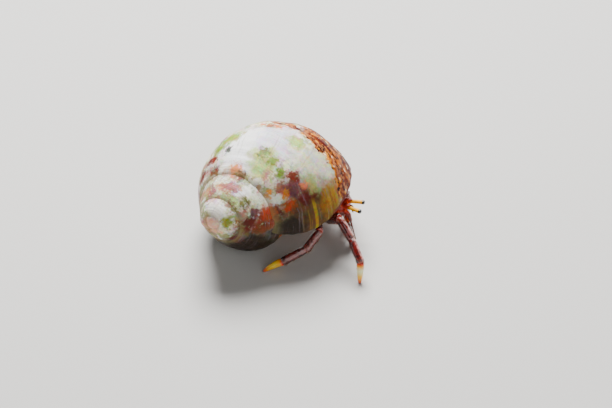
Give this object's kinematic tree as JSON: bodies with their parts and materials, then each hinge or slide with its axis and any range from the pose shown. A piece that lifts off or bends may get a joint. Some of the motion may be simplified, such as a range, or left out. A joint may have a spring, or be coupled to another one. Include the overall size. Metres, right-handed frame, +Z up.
{
  "type": "hermit crab model",
  "caption": "Life-size still model of a hermit crab walking, its eyes and legs out of a worn, coiled turban shell that lies on its last whorl.",
  "frame": {"origin": "on the floor, in the middle of the small flat on which the shell's last whorl rests", "axes": "+X the way the crab heads, +Y to its left, +Z up from the floor"},
  "size_m": [0.0316, 0.0305, 0.0207],
  "materials": {
    "shell": "worn, chalky with a satin band of new growth by the lip, banded and mottled",
    "shield": "semi-gloss, smooth",
    "soft": "satin, faintly wrinkled",
    "leg": "gloss, smooth, sparsely bristled",
    "claw": "gloss, finely pitted, sparsely bristled",
    "toe": "gloss, banded red, cream and yellow",
    "stalk": "gloss",
    "cornea": "high gloss",
    "feeler": "semi-gloss, ringed"
  },
  "bodies": {
    "root": {"leg_2_right_merus": "leg", "leg_2_right_carpus": "leg", "leg_2_right_propodus": "leg", "leg_2_right_dactyl": "toe", "leg_3_right_merus": "leg", "leg_3_right_carpus": "leg", "leg_3_right_propodus": "leg", "leg_3_right_dactyl": "toe", "leg_2_left_merus": "leg", "leg_2_left_carpus": "leg", "leg_2_left_propodus": "leg", "leg_2_left_dactyl": "toe", "leg_3_left_merus": "leg", "leg_3_left_carpus": "leg", "leg_3_left_propodus": "leg", "leg_3_left_dactyl": "toe", "cheliped_left_arm": "claw", "cheliped_left_wrist": "claw", "cheliped_left_palm": "claw", "cheliped_left_finger": "toe", "cheliped_right_arm": "claw", "cheliped_right_wrist": "claw", "cheliped_right_palm": "claw", "cheliped_right_finger": "toe", "carapace_shield": "shield", "carapace_rear": "soft", "thorax": "soft", "eyestalk_left": "stalk", "cornea_left": "cornea", "antenna_left": "feeler", "antennule_left": "feeler", "maxilliped_left": "feeler", "leg_4_left": "soft", "leg_5_left": "soft", "eyestalk_right": "stalk", "cornea_right": "cornea", "antenna_right": "feeler", "antennule_right": "feeler", "maxilliped_right": "feeler", "leg_4_right": "soft", "leg_5_right": "soft", "abdomen_front": "soft", "abdomen_rear": "soft", "tail_fan": "soft", "shell": "shell"}
  },
  "joints": []
}
